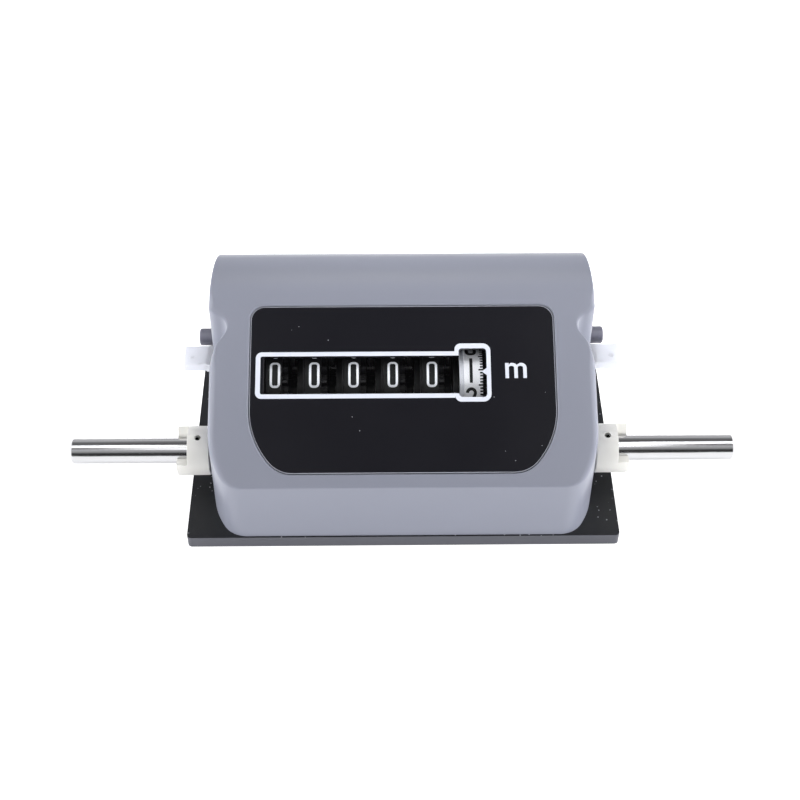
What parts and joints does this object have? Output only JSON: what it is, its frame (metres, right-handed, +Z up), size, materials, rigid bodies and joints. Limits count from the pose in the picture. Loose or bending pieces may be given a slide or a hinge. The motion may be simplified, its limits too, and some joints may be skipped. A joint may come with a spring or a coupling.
{
  "type": "mechanical length counter",
  "caption": "Sloped-face mechanical counter with a through drive shaft, slotted collars, number wheels behind a window, side reset paddles and a flat base plate.",
  "frame": {"origin": "middle of the underside of the base plate", "axes": "+X along the drive shaft to the right as seen from the window side, -Y towards the front wall, +Z up"},
  "size_m": [0.1786, 0.073, 0.0487],
  "materials": {
    "plate_paint": "matt black paint",
    "hood_plastic": "smooth grey moulding",
    "panel_plastic": "glossy black",
    "lens": "clear moulding",
    "sheet_steel": "plated sheet",
    "turned_steel": "turned",
    "ground_steel": "ground bar",
    "dark_steel": "blackened",
    "bush_brass": "turned",
    "pale_nylon": "natural moulding",
    "collar_nylon": "off-white moulding",
    "paddle_nylon": "milky moulding",
    "grey_nylon": "dark grey moulding",
    "wheel_black": "black moulding",
    "wheel_white": "white moulding"
  },
  "bodies": {
    "base": {"base_plate": "plate_paint", "housing": "hood_plastic", "face_panel": "panel_plastic", "window_lens": "lens", "left_frame": "sheet_steel", "right_frame": "sheet_steel", "tie_rods": "turned_steel", "wheel_shaft": "turned_steel", "wheel_spacers": "pale_nylon", "pinion_shaft": "turned_steel", "left_bush": "bush_brass", "right_bush": "bush_brass", "frame_screws": "turned_steel", "frame_nuts": "turned_steel", "housing_screws": "turned_steel", "reset_rod": "turned_steel", "left_rod_cap": "grey_nylon", "right_rod_cap": "grey_nylon", "reset_spring": "turned_steel"},
    "drive": {"drive_shaft": "ground_steel", "drive_gear": "pale_nylon", "left_collar": "collar_nylon", "right_collar": "collar_nylon", "collar_pins": "dark_steel"},
    "tenths": {"tenths_wheel": "wheel_white"},
    "number_1": {"number_wheel_1": "wheel_black"},
    "number_2": {"number_wheel_2": "wheel_black"},
    "number_3": {"number_wheel_3": "wheel_black"},
    "number_4": {"number_wheel_4": "wheel_black"},
    "number_5": {"number_wheel_5": "wheel_black"},
    "pinion_1": {"transfer_pinion_1": "pale_nylon"},
    "pinion_2": {"transfer_pinion_2": "pale_nylon"},
    "pinion_3": {"transfer_pinion_3": "pale_nylon"},
    "pinion_4": {"transfer_pinion_4": "pale_nylon"},
    "pinion_5": {"transfer_pinion_5": "pale_nylon"},
    "reset": {"reset_yoke": "sheet_steel", "left_paddle": "paddle_nylon", "right_paddle": "paddle_nylon"}
  },
  "joints": [
    {"name": "shaft_spin", "type": "hinge", "parent": "base", "child": "drive", "pos_m": [0, -0.01585, 0.01544], "axis": [1, 0, 0], "continuous": true},
    {"name": "tenths_spin", "type": "hinge", "parent": "base", "child": "tenths", "pos_m": [0, -0.00094, 0.02317], "axis": [1, 0, 0], "continuous": true},
    {"name": "number_1_spin", "type": "hinge", "parent": "base", "child": "number_1", "pos_m": [0, -0.00094, 0.02317], "axis": [1, 0, 0], "continuous": true},
    {"name": "number_2_spin", "type": "hinge", "parent": "base", "child": "number_2", "pos_m": [0, -0.00094, 0.02317], "axis": [1, 0, 0], "continuous": true},
    {"name": "number_3_spin", "type": "hinge", "parent": "base", "child": "number_3", "pos_m": [0, -0.00094, 0.02317], "axis": [1, 0, 0], "continuous": true},
    {"name": "number_4_spin", "type": "hinge", "parent": "base", "child": "number_4", "pos_m": [0, -0.00094, 0.02317], "axis": [1, 0, 0], "continuous": true},
    {"name": "number_5_spin", "type": "hinge", "parent": "base", "child": "number_5", "pos_m": [0, -0.00094, 0.02317], "axis": [1, 0, 0], "continuous": true},
    {"name": "pinion_1_spin", "type": "hinge", "parent": "base", "child": "pinion_1", "pos_m": [0, 0.00937, 0.01172], "axis": [1, 0, 0], "continuous": true},
    {"name": "pinion_2_spin", "type": "hinge", "parent": "base", "child": "pinion_2", "pos_m": [0, 0.00937, 0.01172], "axis": [1, 0, 0], "continuous": true},
    {"name": "pinion_3_spin", "type": "hinge", "parent": "base", "child": "pinion_3", "pos_m": [0, 0.00937, 0.01172], "axis": [1, 0, 0], "continuous": true},
    {"name": "pinion_4_spin", "type": "hinge", "parent": "base", "child": "pinion_4", "pos_m": [0, 0.00937, 0.01172], "axis": [1, 0, 0], "continuous": true},
    {"name": "pinion_5_spin", "type": "hinge", "parent": "base", "child": "pinion_5", "pos_m": [0, 0.00937, 0.01172], "axis": [1, 0, 0], "continuous": true},
    {"name": "reset_press", "type": "hinge", "parent": "base", "child": "reset", "pos_m": [0, 0.01596, 0.02717], "axis": [1, 0, 0], "range_deg": [0, 14], "stiffness_Nm_per_rad": 0.11, "springref_deg": -8.59, "deforming": ["reset_spring"]}
  ],
  "couplings": [
    {"joint": "tenths_spin", "follows": "shaft_spin", "ratio": -0.5},
    {"joint": "number_1_spin", "follows": "shaft_spin", "ratio": -0.05},
    {"joint": "number_2_spin", "follows": "shaft_spin", "ratio": -0.005},
    {"joint": "number_3_spin", "follows": "shaft_spin", "ratio": -0.0005},
    {"joint": "number_4_spin", "follows": "shaft_spin", "ratio": -0.00005},
    {"joint": "number_5_spin", "follows": "shaft_spin", "ratio": -0.000005},
    {"joint": "pinion_1_spin", "follows": "shaft_spin", "ratio": 0.125},
    {"joint": "pinion_2_spin", "follows": "shaft_spin", "ratio": 0.0125},
    {"joint": "pinion_3_spin", "follows": "shaft_spin", "ratio": 0.00125},
    {"joint": "pinion_4_spin", "follows": "shaft_spin", "ratio": 0.000125},
    {"joint": "pinion_5_spin", "follows": "shaft_spin", "ratio": 0.0000125}
  ]
}
